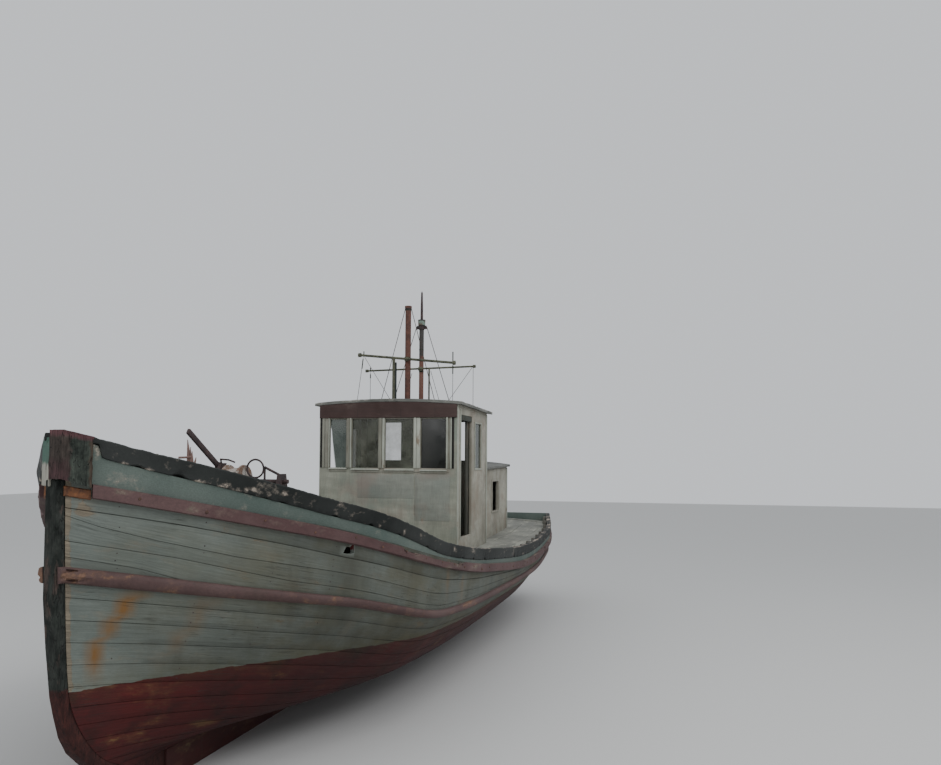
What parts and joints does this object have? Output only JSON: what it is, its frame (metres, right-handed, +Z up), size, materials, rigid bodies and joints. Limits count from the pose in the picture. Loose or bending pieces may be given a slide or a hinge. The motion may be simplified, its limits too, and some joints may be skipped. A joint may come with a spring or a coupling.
{
  "type": "fishing trawler",
  "caption": "Old wooden inshore fishing boat with a raking plank hull, small wheelhouse aft, low cabin behind it, two short masts, foredeck winch and fish hold.",
  "frame": {"origin": "under the middle of the keel's sole, half way between the stem and the stern", "axes": "+X forward to the bow, +Y to port, +Z up"},
  "size_m": [10.99, 3.68, 5.02],
  "materials": {
    "planking": "flaking grey-green paint",
    "black_timber": "peeling black paint",
    "dark_timber": "weathered",
    "maroon_timber": "faded maroon paint",
    "deck_wood": "bare and weathered",
    "house_paint": "worn grey paint on plywood",
    "fascia_red": "dark red-brown paint",
    "roof_felt": "painted canvas",
    "glass": "dirty",
    "rust_iron": "rusted",
    "green_iron": "dark green paint",
    "wire": "dull wire",
    "bronze": "dull bronze",
    "engine_grey": "oily grey paint"
  },
  "bodies": {
    "boat": {"hull": "planking", "keel": "dark_timber", "stem": "black_timber", "transom": "planking", "deck_fore": "deck_wood", "deck_port": "deck_wood", "deck_starboard": "deck_wood", "deck_aft": "deck_wood", "bulwark_port": "planking", "bulwark_starboard": "planking", "rail_strake_port": "black_timber", "rail_strake_starboard": "black_timber", "stern_bulwark": "planking", "upper_guard_port": "maroon_timber", "upper_guard_starboard": "maroon_timber", "lower_guard_port": "maroon_timber", "lower_guard_starboard": "maroon_timber", "bow_block_port": "dark_timber", "bow_block_starboard": "dark_timber", "hatch_coaming": "deck_wood", "bitt_post": "deck_wood", "winch_frame": "rust_iron", "house_sole": "deck_wood", "cabin_sole": "deck_wood", "house_front": "house_paint", "house_side_port": "house_paint", "house_side_starboard": "house_paint", "house_back": "house_paint", "house_roof": "roof_felt", "house_fascia": "fascia_red", "window_sill": "house_paint", "front_pane_1": "glass", "front_pane_2": "glass", "front_pane_3": "glass", "front_pane_4": "glass", "side_pane_port": "glass", "side_pane_starboard": "glass", "helm_bench": "deck_wood", "cabin_side_port": "house_paint", "cabin_side_starboard": "house_paint", "cabin_back": "house_paint", "cabin_roof": "roof_felt", "mast_fore": "rust_iron", "crosstree_fore": "green_iron", "mast_aft": "rust_iron", "crosstree_aft": "green_iron", "fore_stay_port": "wire", "fore_stay_starboard": "wire", "aft_stay_port": "wire", "aft_stay_starboard": "wire", "engine": "engine_grey"},
    "propeller": {"propeller": "bronze"},
    "rudder": {"rudder": "dark_timber"},
    "helm_wheel": {"steering_wheel": "dark_timber"},
    "port_door": {"house_door_port": "house_paint"},
    "starboard_door": {"house_door_starboard": "house_paint"},
    "cabin_door": {"cabin_door": "house_paint"},
    "hatch_cover": {"hatch_cover": "deck_wood"},
    "winch_drum": {"winch_drum": "rust_iron"},
    "winch_lever": {"winch_lever": "rust_iron"}
  },
  "joints": [
    {"name": "propeller_spin", "type": "hinge", "parent": "boat", "child": "propeller", "pos_m": [-4.52, 0, 0.32], "axis": [1, 0, 0], "continuous": true},
    {"name": "rudder_turn", "type": "hinge", "parent": "boat", "child": "rudder", "pos_m": [-4.9, 0, 0.33], "axis": [0, 0, 1], "range_deg": [-35, 35]},
    {"name": "wheel_turn", "type": "hinge", "parent": "boat", "child": "helm_wheel", "pos_m": [-0.9354, 0, 1.92], "axis": [1, 0, 0], "range_deg": [-350, 350]},
    {"name": "port_door_slide", "type": "slide", "parent": "boat", "child": "port_door", "axis": [1, 0, 0], "range_m": [-0.11, 0.51]},
    {"name": "starboard_door_slide", "type": "slide", "parent": "boat", "child": "starboard_door", "axis": [1, 0, 0], "range_m": [-0.11, 0.51]},
    {"name": "cabin_door_swing", "type": "hinge", "parent": "boat", "child": "cabin_door", "pos_m": [-4.36, 0.3, 1.8], "axis": [0, 0, 1], "range_deg": [-110, 0]},
    {"name": "hatch_lift", "type": "slide", "parent": "boat", "child": "hatch_cover", "axis": [0, 0, 1], "range_m": [0, 0.6]},
    {"name": "winch_drum_spin", "type": "hinge", "parent": "boat", "child": "winch_drum", "pos_m": [3, -0.135, 2.24], "axis": [0, 1, 0], "continuous": true},
    {"name": "winch_lever_swing", "type": "hinge", "parent": "boat", "child": "winch_lever", "pos_m": [2.96, -0.345, 2.375], "axis": [0, 1, 0], "range_deg": [-40, 25]}
  ],
  "couplings": [
    {"joint": "wheel_turn", "follows": "rudder_turn", "ratio": 10}
  ]
}
